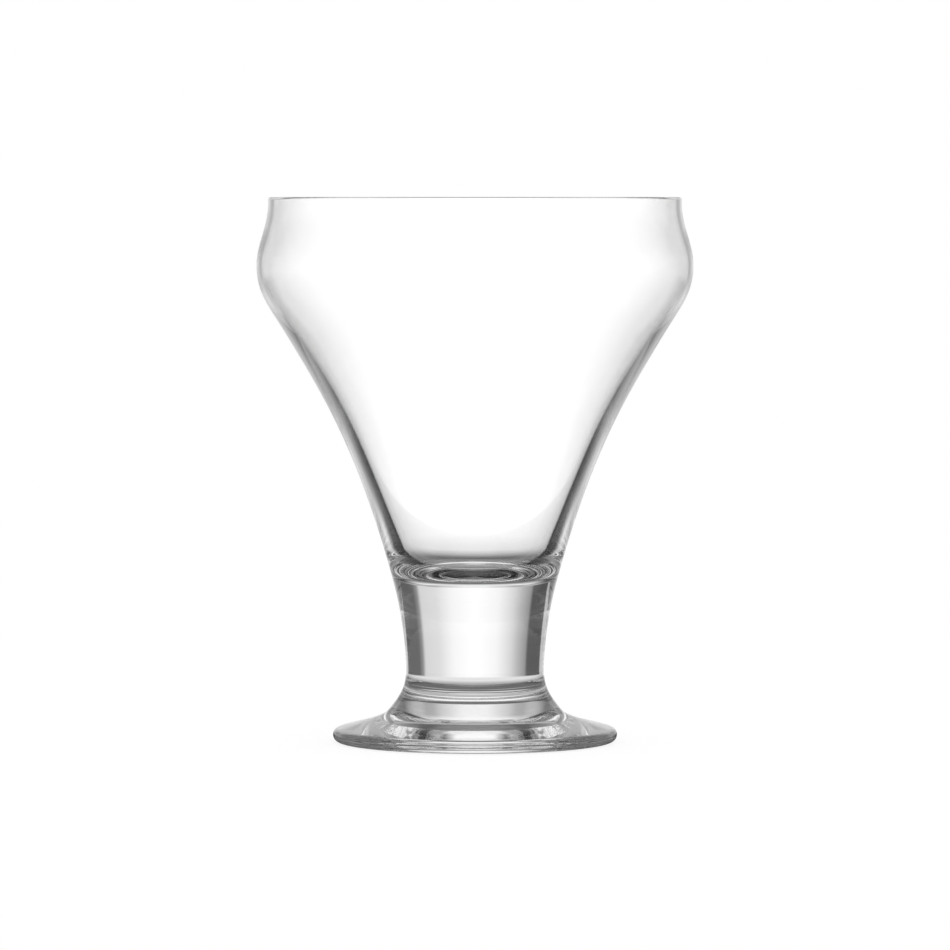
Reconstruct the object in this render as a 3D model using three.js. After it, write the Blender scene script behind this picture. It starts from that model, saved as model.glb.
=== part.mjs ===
// A footed sundae glass in clear glass, turned about +Z and standing on the plane z = 0.
// Four bodies of glass are stacked on flat seams: the pressed foot, the flared collar, the solid stem
// and the blown bowl. Lengths are in millimetres and angles in degrees.
import * as THREE from "three";

const glassHeight = 120;

// Foot: a disc with a rounded edge, an upper side that rises to a ridge, and a shallow hollow underneath.
const footHeight = 6.4;
const footRadius = 31.35;
const footEdgeRounding = 1.5;
const footEdgeSlope = 17.7; // rise of the upper side where it leaves the rounded edge
const footRidgeSlope = 30.5; // rise of the upper side where it meets the collar
const standingRingWidth = 11.3; // flat ring that the glass rests on
const hollowDepth = 3;
const hollowFlatRadius = 11; // flat middle of the hollow

// Collar: a flared ring between the foot's ridge and the stem, a little prouder than the stem.
const collarHeight = 8.1;
const collarFootRadius = 19.6;
const collarFlare = 41; // lean of its side at the foot
const collarStep = 0.17;

// Stem: solid, upright at the collar and opening out towards the bowl.
const stemHeight = 17.5;
const stemRadius = 15.2;

// Bowl, outside: a solid base, a flaring wall, a swelling shoulder, a drawn-in neck and an upright lip.
// Each rise is counted from the station below it, the wall takes up the rest of the height, and each
// lean is measured from the vertical.
const bowlBaseRadius = 17.21;
const bowlBaseLean = 12.6;
const baseRise = 4;
const wallBaseRadius = 18.2;
const wallBaseLean = 15.2;
const wallTopRadius = 41.6;
const wallTopLean = 31.4;
const shoulderRise = 15.25;
const shoulderRadius = 48.05;
const neckRise = 8.25;
const neckRadius = 46.3;
const neckLean = -15.4;
const lipRise = 5.05;
const lipRadius = 45.5;
const rimRise = 1; // upright band of the lip below its rounded edge

// Bowl, inside: the wall is thick at the heel, thinnest at the shoulder and even up to the lip.
const floorThickness = 4.12;
const floorRadius = 5;
const heelRise = 7.68; // height of the rounded heel above the floor
const heelLean = 21.5;
const heelThickness = 3.97;
const wallTopThickness = 1.69;
const innerWallTopLean = 35.1;
const shoulderThickness = 1;
const neckThickness = 1.2;
const lipThickness = 1.2;

// Handles of the curves, as shares of their chords: a longer handle keeps that end straighter.
const evenHandle = 1 / 3;
const floorHandle = 0.42;
const heelHandle = 0.45;
const outerHandles = { base: 0.48, wallTop: 0.28, swell: 0.48, shoulder: 0.37 };
const innerHandles = { base: 0.41, wallTop: 0.46, swell: 0.52, shoulder: 0.32 };

const quarterTurn = 90;

const facets = 64; // around the axis, the same on every body so that the seams match
const wallSteps = 10;
const edgeSteps = 8;
const curveSteps = 6;
const shortSteps = 3;

// Heights of the seams above the table, and of the bowl's stations.
const stemBase = footHeight + collarHeight;
const bowlBase = stemBase + stemHeight;
const wallBaseLevel = bowlBase + baseRise;
const floorLevel = bowlBase + floorThickness;
const heelLevel = floorLevel + heelRise;
const lipRounding = lipThickness / 2;
const rimLevel = glassHeight - lipRounding; // centre of the rim's rounding
const lipLevel = rimLevel - rimRise;
const neckLevel = lipLevel - lipRise;
const shoulderLevel = neckLevel - neckRise;
const wallTopLevel = shoulderLevel - shoulderRise;

const { degToRad, inverseLerp, lerp, radToDeg } = THREE.MathUtils;

// A point of an outline, with the lean of the outline there: 0 runs straight up, a quarter turn outwards.
function station(radius, height, lean) {
  const angle = degToRad(lean);
  return {
    point: new THREE.Vector2(radius, height),
    heading: new THREE.Vector2(Math.sin(angle), Math.cos(angle)),
  };
}

// A smooth curve from one station to the next that keeps both leans.
function sweep(from, to, steps, fromHandle = evenHandle, toHandle = evenHandle) {
  const chord = from.point.distanceTo(to.point);
  const leaving = from.point.clone().addScaledVector(from.heading, chord * fromHandle);
  const arriving = to.point.clone().addScaledVector(to.heading, -chord * toHandle);
  return new THREE.CubicBezierCurve(from.point, leaving, arriving, to.point).getPoints(steps);
}

// A round edge about a centre, between two angles counted from the outward direction.
function roundEdge(radius, height, rounding, startAngle, endAngle, steps) {
  const points = [];
  for (let step = 0; step <= steps; step += 1) {
    const angle = degToRad(lerp(startAngle, endAngle, step / steps));
    points.push(new THREE.Vector2(radius + rounding * Math.cos(angle), height + rounding * Math.sin(angle)));
  }
  return points;
}

// The radius of a rising stretch of outline at a height within it.
function radiusAt(stretch, height) {
  const above = stretch.findIndex((point) => point.y >= height);
  const high = stretch[above];
  const low = stretch[above - 1];
  return lerp(low.x, high.x, inverseLerp(low.y, high.y, height));
}

function onAxis(height) {
  return [new THREE.Vector2(0, height)];
}

// Joins stretches of outline end to end, without the points that two stretches share.
function outline(...stretches) {
  const closeness = 1e-4;
  const joined = [];
  for (const point of stretches.flat()) {
    if (!joined.length || joined.at(-1).distanceTo(point) > closeness) joined.push(point);
  }
  return joined;
}

// A body of revolution about +Z from an outline that starts and ends on the axis.
function turned(name, profile) {
  const geometry = new THREE.LatheGeometry(profile, facets);
  geometry.rotateX(Math.PI / 2);
  const clearGlass = new THREE.MeshStandardMaterial({ color: 0xf3f6f5, roughness: 0.03, metalness: 0 });
  const body = new THREE.Mesh(geometry, clearGlass);
  body.name = name;
  return body;
}

function makeFoot() {
  const edgeCentre = footRadius - footEdgeRounding;
  const edgeEnd = quarterTurn - footEdgeSlope;
  const edge = roundEdge(edgeCentre, footEdgeRounding, footEdgeRounding, -quarterTurn, edgeEnd, edgeSteps);
  const edgeTop = edge.at(-1);
  const upperSide = sweep(
    station(edgeTop.x, edgeTop.y, footEdgeSlope - quarterTurn),
    station(collarFootRadius, footHeight, footRidgeSlope - quarterTurn),
    shortSteps,
  );
  const hollowRadius = edgeCentre - standingRingWidth;
  const hollowSlope = 2 * radToDeg(Math.atan2(hollowDepth, hollowRadius - hollowFlatRadius)); // as on an arc
  const hollow = sweep(
    station(hollowFlatRadius, hollowDepth, quarterTurn),
    station(hollowRadius, 0, quarterTurn + hollowSlope),
    curveSteps,
  );
  return turned("foot", outline(onAxis(hollowDepth), hollow, edge, upperSide, onAxis(footHeight)));
}

function makeCollar() {
  const side = sweep(
    station(collarFootRadius, footHeight, -collarFlare),
    station(stemRadius + collarStep, stemBase, 0),
    curveSteps,
  );
  return turned("collar", outline(onAxis(footHeight), side, onAxis(stemBase)));
}

function makeStem() {
  const side = sweep(
    station(stemRadius, stemBase, 0),
    station(bowlBaseRadius, bowlBase, bowlBaseLean),
    curveSteps,
  );
  return turned("stem", outline(onAxis(stemBase), side, onAxis(bowlBase)));
}

// The upper stations of the bowl's outside, or of its inside when the wall's thicknesses are taken off.
function bowlStations(wallTop, shoulder, neck, lip, lean) {
  return {
    wallTop: station(wallTopRadius - wallTop, wallTopLevel, lean),
    shoulder: station(shoulderRadius - shoulder, shoulderLevel, 0),
    neck: station(neckRadius - neck, neckLevel, neckLean),
    lip: station(lipRadius - lip, lipLevel, 0),
  };
}

// The side of the bowl from its lowest station up to the lip.
function bowlSide(base, { wallTop, shoulder, neck, lip }, handles) {
  return outline(
    sweep(base, wallTop, wallSteps, handles.base, handles.wallTop),
    sweep(wallTop, shoulder, curveSteps, handles.swell, handles.shoulder),
    sweep(shoulder, neck, shortSteps),
    sweep(neck, lip, shortSteps),
  );
}

function makeBowl() {
  const wallBase = station(wallBaseRadius, wallBaseLevel, wallBaseLean);
  const outside = outline(
    sweep(station(bowlBaseRadius, bowlBase, bowlBaseLean), wallBase, shortSteps),
    bowlSide(wallBase, bowlStations(0, 0, 0, 0, wallTopLean), outerHandles),
  );

  const floorEdge = station(floorRadius, floorLevel, quarterTurn);
  const heel = station(radiusAt(outside, heelLevel) - heelThickness, heelLevel, heelLean);
  const inside = outline(
    sweep(floorEdge, heel, curveSteps, floorHandle, heelHandle),
    bowlSide(
      heel,
      bowlStations(wallTopThickness, shoulderThickness, neckThickness, lipThickness, innerWallTopLean),
      innerHandles,
    ),
  );

  const rim = roundEdge(lipRadius - lipRounding, rimLevel, lipRounding, 0, 2 * quarterTurn, edgeSteps);
  return turned("bowl", outline(onAxis(bowlBase), outside, rim, inside.reverse(), onAxis(floorLevel)));
}

const sundaeGlass = new THREE.Group();
sundaeGlass.add(makeFoot(), makeCollar(), makeStem(), makeBowl());

export default sundaeGlass;
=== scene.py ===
import math

import bpy
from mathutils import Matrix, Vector


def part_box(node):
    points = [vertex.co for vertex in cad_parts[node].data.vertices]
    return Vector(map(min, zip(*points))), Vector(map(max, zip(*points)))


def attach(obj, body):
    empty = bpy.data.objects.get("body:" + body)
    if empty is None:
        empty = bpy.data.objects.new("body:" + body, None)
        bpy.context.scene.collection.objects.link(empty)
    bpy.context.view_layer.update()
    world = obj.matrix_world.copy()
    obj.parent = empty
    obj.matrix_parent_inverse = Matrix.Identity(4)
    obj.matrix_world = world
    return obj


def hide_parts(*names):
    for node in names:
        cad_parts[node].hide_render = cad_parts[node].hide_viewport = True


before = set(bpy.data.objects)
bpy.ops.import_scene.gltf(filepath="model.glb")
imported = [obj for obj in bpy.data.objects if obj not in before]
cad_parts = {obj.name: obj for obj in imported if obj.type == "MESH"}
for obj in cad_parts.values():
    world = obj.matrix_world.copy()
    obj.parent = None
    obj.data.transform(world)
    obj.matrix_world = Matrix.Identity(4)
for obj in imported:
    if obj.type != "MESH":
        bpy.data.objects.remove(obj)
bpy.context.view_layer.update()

mm = 0.001
print("frame loaded:", ", ".join(sorted(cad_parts)))


# One socket of a node tree. Arithmetic on it adds Math nodes.
class Wire:
    def __init__(self, tree, socket=None):
        self.tree = tree
        self.socket = socket

    # any node: its type, its settings, then values or wires for its sockets
    def node(self, kind, settings=None, inputs=None, output=0):
        made = self.tree.nodes.new(kind)
        for name, value in (settings or {}).items():
            if name == "stops":
                self.setStops(made.color_ramp.elements, value)
            else:
                setattr(made, name, value)
        for name, value in (inputs or {}).items():
            if isinstance(value, Wire):
                self.tree.links.new(value.socket, made.inputs[name])
            else:
                made.inputs[name].default_value = value
        return Wire(self.tree, made.outputs[output] if made.outputs else None)

    def setStops(self, elements, stops):
        while len(elements) < len(stops):
            elements.new(1)
        for element, (position, level) in zip(elements, stops):
            element.position = position
            element.color = (level, level, level, 1)

    # another output of the same node
    def other(self, output):
        return Wire(self.tree, self.socket.node.outputs[output])

    # a curve through (value, level) points, straight between them
    def ramp(self, points):
        first, last = points[0][0], points[-1][0]
        stops = [((value - first) / (last - first), level) for value, level in points]
        return self.node("ShaderNodeValToRGB", {"stops": stops}, {"Fac": (self - first) / (last - first)})

    # 0 below the first edge, 1 above the second and smooth between them
    def rise(self, edges):
        return self.node("ShaderNodeMapRange", {"interpolation_type": "SMOOTHSTEP"},
                         {"Value": self, "From Min": edges[0], "From Max": edges[1]})

    def math(self, operation, *terms):
        return self.node("ShaderNodeMath", {"operation": operation}, dict(enumerate(terms)))

    def __add__(self, other):
        return self.math("ADD", self, other)

    def __radd__(self, other):
        return self.math("ADD", other, self)

    def __sub__(self, other):
        return self.math("SUBTRACT", self, other)

    def __rsub__(self, other):
        return self.math("SUBTRACT", other, self)

    def __mul__(self, other):
        return self.math("MULTIPLY", self, other)

    def __rmul__(self, other):
        return self.math("MULTIPLY", other, self)

    def __truediv__(self, other):
        return self.math("DIVIDE", self, other)

    def __rtruediv__(self, other):
        return self.math("DIVIDE", other, self)


def blankMaterial(name):
    material = bpy.data.materials.new(name)
    material.use_nodes = True
    material.node_tree.nodes.clear()
    return material


def finishMaterial(material, shader):
    shader.node("ShaderNodeOutputMaterial", inputs={"Surface": shader})
    return material


clearGlass = {
    "index": 1.52,
    "polish": (0.0, 0.012),      # least and most roughness of the fire-polished skin
    "polishPatches": 70,         # per metre
    "waves": 45,                 # per metre, the slight waviness of blown glass
    "waveHeight": 0.000008,
}


def makeClearGlass():
    material = blankMaterial("clearGlass")
    wire = Wire(material.node_tree)
    place = wire.node("ShaderNodeTexCoord", output="Object")
    patches = wire.node("ShaderNodeTexNoise", inputs={
        "Vector": place, "Scale": clearGlass["polishPatches"], "Detail": 3})
    waves = wire.node("ShaderNodeTexNoise", inputs={
        "Vector": place, "Scale": clearGlass["waves"], "Detail": 0})
    least, most = clearGlass["polish"]
    skin = wire.node("ShaderNodeBump", inputs={
        "Height": waves, "Strength": 1.0, "Distance": clearGlass["waveHeight"]})
    body = wire.node("ShaderNodeBsdfPrincipled", inputs={
        "Base Color": (1, 1, 1, 1),
        "Roughness": patches * (most - least) + least,
        "IOR": clearGlass["index"],
        "Transmission Weight": 1.0,
        "Normal": skin,
    })
    return finishMaterial(material, body)


def makeFusedSeam():  # where two bodies of glass are fused, light passes straight on
    material = blankMaterial("fusedSeam")
    return finishMaterial(material, Wire(material.node_tree).node("ShaderNodeBsdfTransparent"))


glass = makeClearGlass()
seam = makeFusedSeam()
polished, fused = 0, 1           # places of the two finishes on each piece
print("finishes made")


# A point of an outline in mm with the way the outline heads there: 0 degrees is up, 90 is outwards.
class Station:
    def __init__(self, radius, height, lean):
        self.point = Vector((radius, height))
        self.heading = Vector((math.sin(math.radians(lean)), math.cos(math.radians(lean))))


# Each stretch of outline is a list of (point, normal), with the normal on the air's side.
def sideways(heading):
    return Vector((heading.y, -heading.x)).normalized()


# A smooth curve between two stations. A longer handle keeps that end of it straighter.
def sweep(start, end, steps, startHandle=1 / 3, endHandle=1 / 3):
    chord = (end.point - start.point).length
    a, d = start.point, end.point
    b = a + start.heading * chord * startHandle
    c = d - end.heading * chord * endHandle
    stretch = []
    for step in range(steps + 1):
        t = step / steps
        u = 1 - t
        point = a * u**3 + b * 3 * u * u * t + c * 3 * u * t * t + d * t**3
        heading = (b - a) * u * u + (c - b) * 2 * u * t + (d - c) * t * t
        stretch.append((point, sideways(heading)))
    return stretch


def roundEdge(centre, rounding, startAngle, endAngle, steps):
    stretch = []
    for step in range(steps + 1):
        angle = math.radians(startAngle + (endAngle - startAngle) * step / steps)
        normal = Vector((math.cos(angle), math.sin(angle)))
        stretch.append((centre + normal * rounding, normal))
    return stretch


def straight(start, end, steps=1):
    start, end = Vector(start), Vector(end)
    normal = sideways(end - start)
    return [(start.lerp(end, step / steps), normal) for step in range(steps + 1)]


def backwards(stretch):
    return [(point, -normal) for point, normal in reversed(stretch)]


def allPolished(*stretches):
    return [(stretch, polished) for stretch in stretches]


turning = {
    "sides": 192,
    "closeness": 1e-6,           # mm, points nearer than this are one
}


# Turns an outline about the axis into one closed mesh. The outline is a list of (stretch, finish),
# and each corner keeps its stretch's exact normal.
def turnPiece(name, outline):
    sides = turning["sides"]
    closeness = turning["closeness"]
    around = [(math.cos(a), math.sin(a)) for a in (2 * math.pi * s / sides for s in range(sides))]
    points, rings = [], []

    def ringAt(point):
        if rings and (rings[-1][0] - point).length < closeness:
            return rings[-1][1]
        first = len(points)
        if point.x < closeness:
            points.append((0, 0, point.y * mm))
            ids = [first] * sides
        else:
            points.extend((c * point.x * mm, s * point.x * mm, point.y * mm) for c, s in around)
            ids = list(range(first, first + sides))
        rings.append((point, ids))
        return ids

    faces, finishes, normals = [], [], []
    for stretch, finish in outline:
        for (lowPoint, lowNormal), (highPoint, highNormal) in zip(stretch, stretch[1:]):
            low = ringAt(lowPoint)
            high = ringAt(highPoint)
            for i in range(sides):
                j = (i + 1) % sides
                corners = [(low[i], i, lowNormal), (low[j], j, lowNormal),
                           (high[j], j, highNormal), (high[i], i, highNormal)]
                if low[i] == low[j]:     # a triangle at the axis
                    corners.pop(1)
                elif high[i] == high[j]:
                    corners.pop(2)
                faces.append([corner[0] for corner in corners])
                finishes.append(finish)
                normals.extend((around[k][0] * n.x, around[k][1] * n.x, n.y) for _, k, n in corners)

    mesh = bpy.data.meshes.new(name)
    mesh.from_pydata(points, [], faces)
    mesh.materials.append(glass)
    mesh.materials.append(seam)
    mesh.polygons.foreach_set("material_index", finishes)
    mesh.shade_smooth()
    mesh.normals_split_custom_set(normals)
    mesh.update()
    piece = bpy.data.objects.new(name, mesh)
    bpy.context.collection.objects.link(piece)
    return piece


def placePiece(piece, node):
    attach(piece, "root")
    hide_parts(node)
    print(piece.name, "turned:", len(piece.data.polygons), "faces")


def sizeOf(node):  # radius, base and top of a node, in mm
    low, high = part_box(node)
    return high.x / mm, low.z / mm, high.z / mm


footRadius, _, footTop = sizeOf("foot")
collarRadius, collarBase, collarTop = sizeOf("collar")
stemTopRadius, stemBase, stemTop = sizeOf("stem")
shoulderRadius, bowlBase, rimTop = sizeOf("bowl")


# Lengths of the pieces are in mm, and leans and slopes in degrees.
foot = {
    "edgeRounding": 1.5,
    "edgeSlope": 17.7,           # rise of the upper side where it leaves the rounded edge
    "ridgeSlope": 30.5,          # and where it meets the collar
    "standingRing": 11.3,        # width of the flat ring that the glass rests on
    "hollowDepth": 3.0,
    "hollowFlat": 11.0,          # radius of the hollow's flat middle
    "flatSteps": 4,
    "hollowSteps": 40,
    "edgeSteps": 28,
    "upperSteps": 32,
}


def makeFoot():
    rounding = foot["edgeRounding"]
    edgeSlope = foot["edgeSlope"]
    centre = Vector((footRadius - rounding, rounding))
    hollowRadius = centre.x - foot["standingRing"]
    depth, flat = foot["hollowDepth"], foot["hollowFlat"]
    hollowSlope = 2 * math.degrees(math.atan2(depth, hollowRadius - flat))  # as on an arc
    middle = straight((0, depth), (flat, depth), foot["flatSteps"])
    hollow = sweep(Station(flat, depth, 90), Station(hollowRadius, 0, 90 + hollowSlope), foot["hollowSteps"])
    ring = straight((hollowRadius, 0), (centre.x, 0), foot["flatSteps"])
    edge = roundEdge(centre, rounding, -90, 90 - edgeSlope, foot["edgeSteps"])
    edgeTop = edge[-1][0]
    upper = sweep(Station(edgeTop.x, edgeTop.y, edgeSlope - 90),
                  Station(collarRadius, footTop, foot["ridgeSlope"] - 90), foot["upperSteps"])
    top = straight((collarRadius, footTop), (0, footTop))
    return turnPiece("pressedFoot", allPolished(middle, hollow, ring, edge, upper) + [(top, fused)])


collar = {
    "flare": 41,                 # lean of its side at the foot
    "step": 0.17,                # how far it stands out from the stem
    "sideSteps": 40,
}


def makeCollar():
    waistRadius = stem["waistRadius"]
    headRadius = waistRadius + collar["step"]
    base = straight((0, collarBase), (collarRadius, collarBase))
    side = sweep(Station(collarRadius, collarBase, -collar["flare"]), Station(headRadius, collarTop, 0),
                 collar["sideSteps"])
    ledge = straight((headRadius, collarTop), (waistRadius, collarTop))
    top = straight((waistRadius, collarTop), (0, collarTop))
    return turnPiece("flaredCollar", [(base, fused), *allPolished(side, ledge), (top, fused)])


stem = {
    "waistRadius": 15.2,
    "topLean": 12.6,
    "sideSteps": 40,
}


def makeStem():
    waistRadius = stem["waistRadius"]
    base = straight((0, stemBase), (waistRadius, stemBase))
    side = sweep(Station(waistRadius, stemBase, 0), Station(stemTopRadius, stemTop, stem["topLean"]),
                 stem["sideSteps"])
    top = straight((stemTopRadius, stemTop), (0, stemTop))
    return turnPiece("solidStem", [(base, fused), (side, polished), (top, fused)])


bowl = {
    # outside: radius, height above the stem, and lean from the vertical
    "wallBase": (18.2, 4.0, 15.2),
    "wallTop": (41.6, 57.85, 31.4),
    "shoulderHeight": 73.1,
    "neck": (46.3, 81.35, -15.4),
    "lip": (45.5, 86.4),
    # inside
    "floorHeight": 4.12,
    "floorRadius": 5.0,
    "heel": (16.47, 11.8, 21.5),
    "innerLean": 35.1,           # at the height of the wall's top
    "wallTopThickness": 1.69,
    "shoulderThickness": 1.0,
    "neckThickness": 1.2,
    "lipThickness": 1.2,
    # handles of the curves, as shares of their chords: both ends of the wall, then of the swell
    "outerHandles": (0.48, 0.28, 0.48, 0.37),
    "innerHandles": (0.41, 0.46, 0.52, 0.32),
    "heelHandles": (0.42, 0.45),
    "baseSteps": 12,
    "wallSteps": 80,
    "swellSteps": 40,
    "neckSteps": 24,
    "lipSteps": 16,
    "bandSteps": 2,
    "rimSteps": 24,
    "heelSteps": 40,
    "floorSteps": 6,
}


# The bowl's side from its lowest station to the lip, with the wall's thickness taken off for the inside.
def bowlSide(base, lean, handles, wallTop=0, shoulder=0, neck=0, lip=0):
    radius, height, _ = bowl["wallTop"]
    wallTopStation = Station(radius - wallTop, bowlBase + height, lean)
    shoulderStation = Station(shoulderRadius - shoulder, bowlBase + bowl["shoulderHeight"], 0)
    radius, height, neckLean = bowl["neck"]
    neckStation = Station(radius - neck, bowlBase + height, neckLean)
    radius, height = bowl["lip"]
    lipStation = Station(radius - lip, bowlBase + height, 0)
    return (sweep(base, wallTopStation, bowl["wallSteps"], *handles[:2])
            + sweep(wallTopStation, shoulderStation, bowl["swellSteps"], *handles[2:])[1:]
            + sweep(shoulderStation, neckStation, bowl["neckSteps"])[1:]
            + sweep(neckStation, lipStation, bowl["lipSteps"])[1:])


def makeBowl():
    radius, height, lean = bowl["wallBase"]
    wallBase = Station(radius, bowlBase + height, lean)
    solidBase = sweep(Station(stemTopRadius, bowlBase, stem["topLean"]), wallBase, bowl["baseSteps"])
    outside = bowlSide(wallBase, bowl["wallTop"][2], bowl["outerHandles"])
    heelRadius, heelHeight, heelLean = bowl["heel"]
    heel = Station(heelRadius, bowlBase + heelHeight, heelLean)
    thickness = [bowl[place + "Thickness"] for place in ("wallTop", "shoulder", "neck", "lip")]
    inside = bowlSide(heel, bowl["innerLean"], bowl["innerHandles"], *thickness)
    floorRadius = bowl["floorRadius"]
    floorLevel = bowlBase + bowl["floorHeight"]
    heelBend = sweep(Station(floorRadius, floorLevel, 90), heel, bowl["heelSteps"], *bowl["heelHandles"])
    rounding = bowl["lipThickness"] / 2
    rimCentre = Vector((bowl["lip"][0] - rounding, rimTop - rounding))
    rim = roundEdge(rimCentre, rounding, 0, 180, bowl["rimSteps"])
    base = straight((0, bowlBase), (stemTopRadius, bowlBase))
    outerBand = straight(outside[-1][0], rim[0][0], bowl["bandSteps"])
    innerBand = straight(rim[-1][0], inside[-1][0], bowl["bandSteps"])
    floor = straight((floorRadius, floorLevel), (0, floorLevel), bowl["floorSteps"])
    skin = allPolished(solidBase, outside, outerBand, rim, innerBand, backwards(inside),
                       backwards(heelBend), floor)
    return turnPiece("blownBowl", [(base, fused)] + skin)


placePiece(makeFoot(), "foot")
placePiece(makeCollar(), "collar")
placePiece(makeStem(), "stem")
placePiece(makeBowl(), "bowl")


# The left half of a list is the mirror image of the right half that is given.
def bothSides(half):
    return [(-turn, level) for turn, level in reversed(half) if turn > 0] + half


# Lists that go round the glass give degrees from straight behind, plus to the right, and how bright.
studio = {
    # what is seen through solid glass
    "panels": [(-180, 1.08), (-165, 0.95), (-145.5, 0.75), (-143, 0.45), (-120, 0.45), (-117.5, 0.75),
               (-90, 1.0), (-62.5, 0.72), (-60, 0.09), (-37, 0.09), (-35.5, 0.28), (-27, 0.5), (-21.6, 0.71),
               (-12, 0.98), (0, 1.08), (12, 0.98), (21.6, 0.76), (34.5, 0.7), (37, 0.29), (42, 0.13),
               (69, 0.13), (71.5, 0.7), (90, 1.0), (117.5, 0.75), (120, 0.45), (143, 0.45), (145.5, 0.75),
               (165, 0.95), (180, 1.08)],
    "panelFoot": (-9.5, -6.5),   # degrees of height between which the panels start
    "panelTop": (26, 36),        # and end
    "belowPanels": 0.8,
    "ceiling": 0.36,             # above the panels
    "backdrop": 1.25,            # what is seen through the walls of the bowl, below the ceiling
    # what is seen in reflections, from the bottom up, each with the degrees of height where it ends
    "lowCards": bothSides([(0, 0.74), (13, 0.76), (17, 0.76), (20, 0.64), (23, 0.48), (26, 0.3), (30, 0.12),
                           (36, 0.05), (75, 0.1), (95, 0.35), (155, 0.28), (166, 0.33), (180, 0.45)]),
    "lowCardsEnd": (-9, -4),
    "edgeCards": bothSides([(5, 0.9), (10, 0.75), (15, 0.65), (20, 0.45), (24, 0.42), (28, 0.52), (34, 0.5),
                            (45, 0.2), (60, 0.17), (80, 0.24), (95, 0.35), (130, 0.34), (155, 0.28),
                            (166, 0.33), (180, 0.45)]),
    "edgeCardsEnd": (10, 18),
    "highCards": bothSides([(20, 1.0), (27, 0.8), (33, 0.25), (40, 0.06), (75, 0.06), (95, 0.2), (156, 0.3),
                            (167, 0.4), (180, 0.42)]),
    "highCardsEnd": (26, 44),
    "softbox": bothSides([(110, 0.1), (135, 1.0), (180, 1.0)]),
    "softboxEnd": (60, 75),
    "overhead": 1.0,
    "ambient": 1.0,              # light on the table
}


def blend(share, low, high):
    return low * (1 - share) + high * share


def turnOf(x, y):  # degrees round the axis from straight behind
    return x.math("ARCTAN2", x, y) * (180 / math.pi)


# The kinds of ray that leave the glass: through solid glass, through the walls of the bowl, or mirrored.
class Rays:
    def __init__(self, wire):
        self.camera = wire.node("ShaderNodeLightPath", output="Is Camera Ray")
        glossy = self.camera.other("Is Glossy Ray")
        transmitted = self.camera.other("Is Transmission Ray")
        passes = self.camera.other("Transmission Depth")
        mirrors = self.camera.other("Glossy Depth")
        self.inGlass = wire.math("MAXIMUM", glossy, transmitted)
        self.walls = wire.math("GREATER_THAN", passes, 2.5)      # solid glass is passed in two steps
        self.mirrored = wire.math("GREATER_THAN", mirrors, 0.5)
        self.solid = self.inGlass * (1 - self.walls) * (1 - self.mirrored)

    def pick(self, solid, walls, mirrored):
        return blend(self.mirrored, blend(self.walls, solid, walls), mirrored)


def makeStudio():
    world = bpy.data.worlds.new("studio")
    bpy.context.scene.world = world
    world.use_nodes = True
    world.node_tree.nodes.clear()
    wire = Wire(world.node_tree)
    direction = wire.node("ShaderNodeTexCoord", output="Generated")
    x = wire.node("ShaderNodeSeparateXYZ", inputs={"Vector": direction}, output="X")
    turn = turnOf(x, x.other("Y"))
    height = wire.math("ARCSINE", x.other("Z")) * (180 / math.pi)
    rays = Rays(wire)
    mirrored = studio["overhead"]
    for cards in ("softbox", "highCards", "edgeCards", "lowCards"):  # from the top down
        mirrored = blend(height.rise(studio[cards + "End"]), turn.ramp(studio[cards]), mirrored)
    panels = blend(height.rise(studio["panelFoot"]), studio["belowPanels"], turn.ramp(studio["panels"]))
    top = height.rise(studio["panelTop"])
    solid = blend(top, panels, studio["ceiling"])
    walls = blend(top, studio["backdrop"], studio["ceiling"])
    seen = rays.pick(solid, walls, mirrored)
    strength = blend(rays.camera, blend(rays.inGlass, studio["ambient"], seen), 1.0)
    background = wire.node("ShaderNodeBackground", inputs={"Color": (1, 1, 1, 1), "Strength": strength})
    background.node("ShaderNodeOutputWorld", inputs={"Surface": background})
    print("studio made")


table = {
    "radius": 0.32,
    "sides": 96,
    "drop": 0.0001,
    "colour": (0.2, 0.2, 0.2, 1),
    "white": 0.83,               # glow that brings the table up to white
    # painted shadow of the glass on the table: how bright the table is by mm from the axis, darker near it,
    # through solid glass, through walls and in reflections
    "solid": [(30, 0.4), (40, 0.42), (55, 0.6), (70, 0.72), (90, 0.8)],
    "walls": [(0, 0.1), (42, 0.1), (55, 0.18), (70, 0.37), (95, 0.62), (135, 0.86), (230, 1.0), (320, 1.12)],
    "mirrored": [(0, 0.12), (45, 0.15), (60, 0.32), (80, 0.56), (110, 0.76), (160, 1.0)],
    "solidEnd": (62, 80),        # mm between which solid glass starts to look past the table
    # painted shade under the foot, darker to the front, and painted shade in sectors that reflections see
    # close to the glass, each with the mm where it ends
    "footShade": bothSides([(80, 0.6), (120, 0.12), (180, 0.12)]),
    "footShadeEnd": (30, 40),
    "nearCardShade": bothSides([(18, 1.0), (24, 0.95), (31, 0.42), (37, 0.09), (41, 0.05), (60, 0.05), (75, 0.12),
                            (95, 0.4), (180, 0.5)]),
    "nearCardShadeEnd": (150, 250),
    "farSpread": 0.9,            # further out the painted shade copies the low cards, a little wider
}


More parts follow.
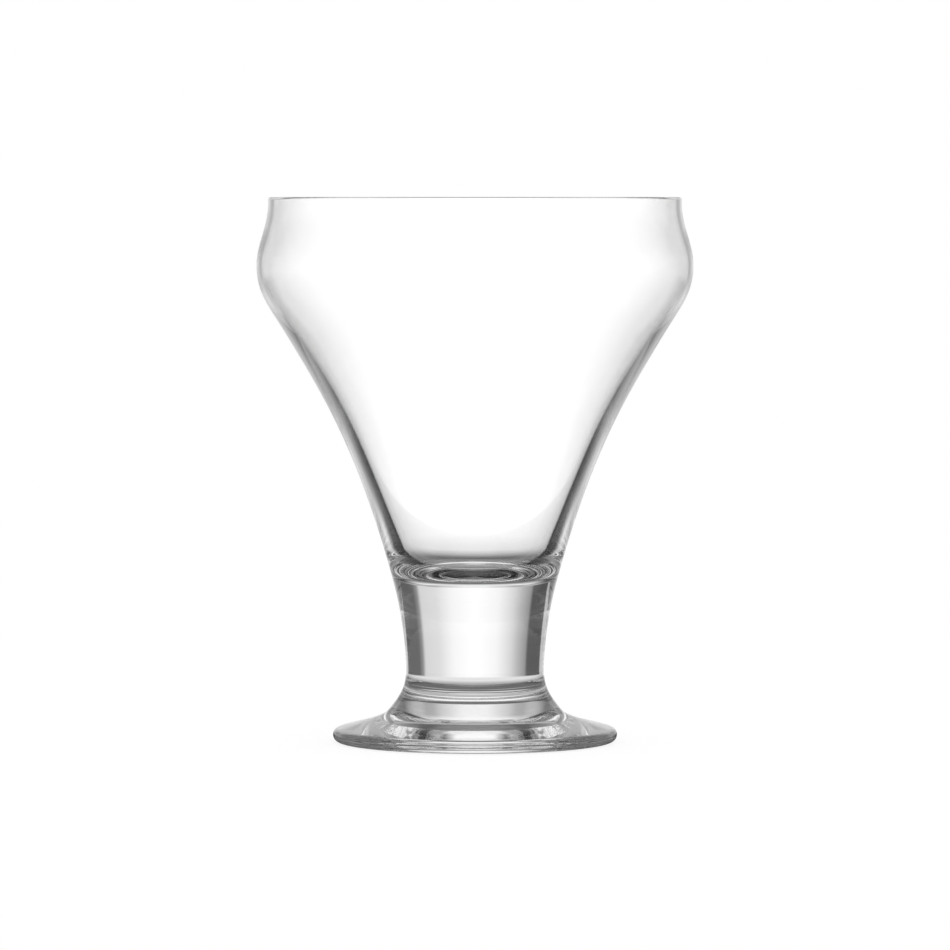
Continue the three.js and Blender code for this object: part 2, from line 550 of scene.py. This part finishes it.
def makeTable():
    sides, radius = table["sides"], table["radius"]
    angles = [2 * math.pi * s / sides for s in range(sides)]
    points = [(radius * math.cos(a), radius * math.sin(a), -table["drop"]) for a in angles]
    mesh = bpy.data.meshes.new("paleTable")
    mesh.from_pydata(points, [], [list(range(sides))])
    material = blankMaterial("paleTable")
    wire = Wire(material.node_tree)
    place = wire.node("ShaderNodeTexCoord", output="Object")
    x = wire.node("ShaderNodeSeparateXYZ", inputs={"Vector": place}, output="X")
    y = x.other("Y")
    away = wire.math("SQRT", x * x + y * y) / mm
    turn = turnOf(x, y)
    rays = Rays(wire)
    # painted shadow of the glass on the table: darker under the foot, near the axis and in sectors to the
    # sides, for rays from the glass
    underFootShade = turn.ramp(table["footShade"])
    solid = blend(away.rise(table["footShadeEnd"]), underFootShade, away.ramp(table["solid"]))
    farCardShade = (turn * table["farSpread"]).ramp(studio["lowCards"])
    cards = blend(away.rise(table["nearCardShadeEnd"]), turn.ramp(table["nearCardShade"]), farCardShade)
    seen = rays.pick(solid, away.ramp(table["walls"]), away.ramp(table["mirrored"]) * cards)
    matt = wire.node("ShaderNodeBsdfDiffuse", inputs={"Color": table["colour"]})
    white = wire.node("ShaderNodeEmission", inputs={"Color": (1, 1, 1, 1), "Strength": table["white"]})
    plain = wire.node("ShaderNodeAddShader", inputs={0: matt, 1: white})
    # the table glows with this painted shade to rays from the glass
    shown = wire.node("ShaderNodeEmission", inputs={"Color": (1, 1, 1, 1), "Strength": seen})
    surface = wire.node("ShaderNodeMixShader", inputs={0: rays.inGlass, 1: plain, 2: shown})
    past = wire.node("ShaderNodeBsdfTransparent")
    looksPast = rays.solid * away.rise(table["solidEnd"])
    ended = wire.node("ShaderNodeMixShader", inputs={0: looksPast, 1: surface, 2: past})
    mesh.materials.append(finishMaterial(material, ended))
    floor = bpy.data.objects.new("paleTable", mesh)
    bpy.context.collection.objects.link(floor)
    print("table made")


view = {
    "distance": 1.281,
    "height": 0.120,
    "lookAt": 0.0588,            # height of the point in the middle of the picture
    "lens": 220.5,
    "sensor": 36,
    "bounces": 160,              # light is guided a long way inside the wall of the bowl
    "seamBounces": 200,
}


def makeCamera():
    data = bpy.data.cameras.new("camera")
    data.lens = view["lens"]
    data.sensor_width = view["sensor"]
    camera = bpy.data.objects.new("camera", data)
    camera.location = (0, -view["distance"], view["height"])
    aim = Vector((0, 0, view["lookAt"])) - camera.location
    camera.rotation_euler = aim.to_track_quat("-Z", "Y").to_euler()
    bpy.context.collection.objects.link(camera)
    bpy.context.scene.camera = camera


makeStudio()
makeTable()
makeCamera()

scene = bpy.context.scene
scene.view_settings.view_transform = "Standard"
scene.cycles.max_bounces = view["bounces"]
scene.cycles.transmission_bounces = view["bounces"]
scene.cycles.glossy_bounces = view["bounces"]
scene.cycles.transparent_max_bounces = view["seamBounces"]
print("camera and light set")
